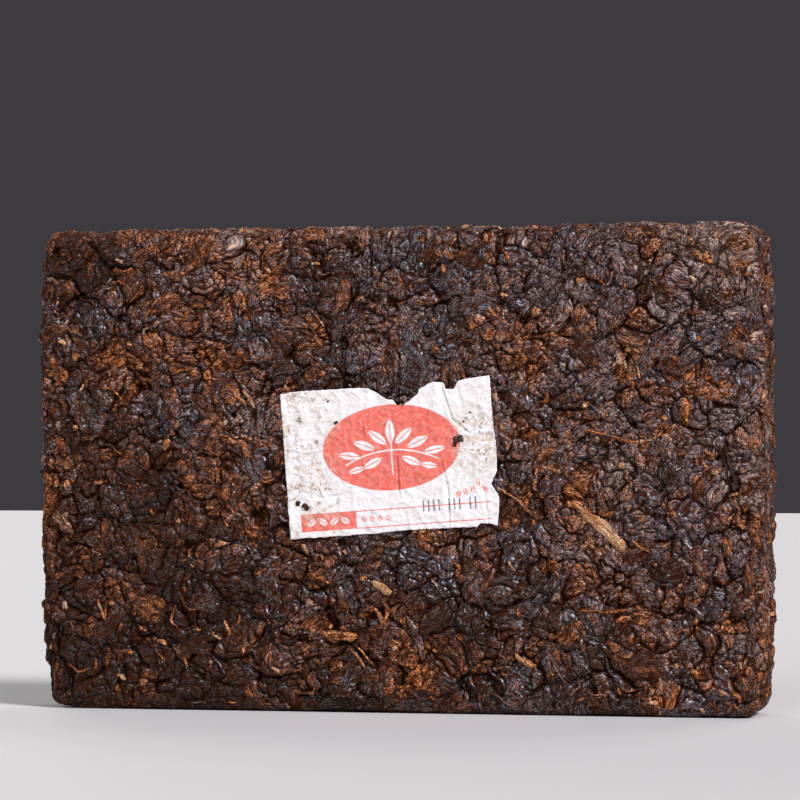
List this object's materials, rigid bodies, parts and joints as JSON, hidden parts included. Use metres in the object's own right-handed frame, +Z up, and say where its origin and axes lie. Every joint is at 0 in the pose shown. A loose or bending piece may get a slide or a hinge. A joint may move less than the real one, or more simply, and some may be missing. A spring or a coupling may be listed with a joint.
{
  "type": "pu-erh tea brick",
  "caption": "Rectangular brick of dark pressed tea leaves standing on a long side, with a torn paper ticket pressed into its front.",
  "frame": {"origin": "middle of the underside, the long side that the brick stands on", "axes": "+X along the brick's length, to the viewer's right; +Y from the front with the ticket to the back; +Z up"},
  "size_m": [0.1799, 0.026, 0.118],
  "materials": {
    "pressed_tea": "matte to satin, black-brown leaves with rust and tan flecks",
    "printed_paper": "matte thin paper with red print"
  },
  "bodies": {
    "root": {"tea_brick": "pressed_tea", "paper_ticket": "printed_paper"}
  },
  "joints": []
}
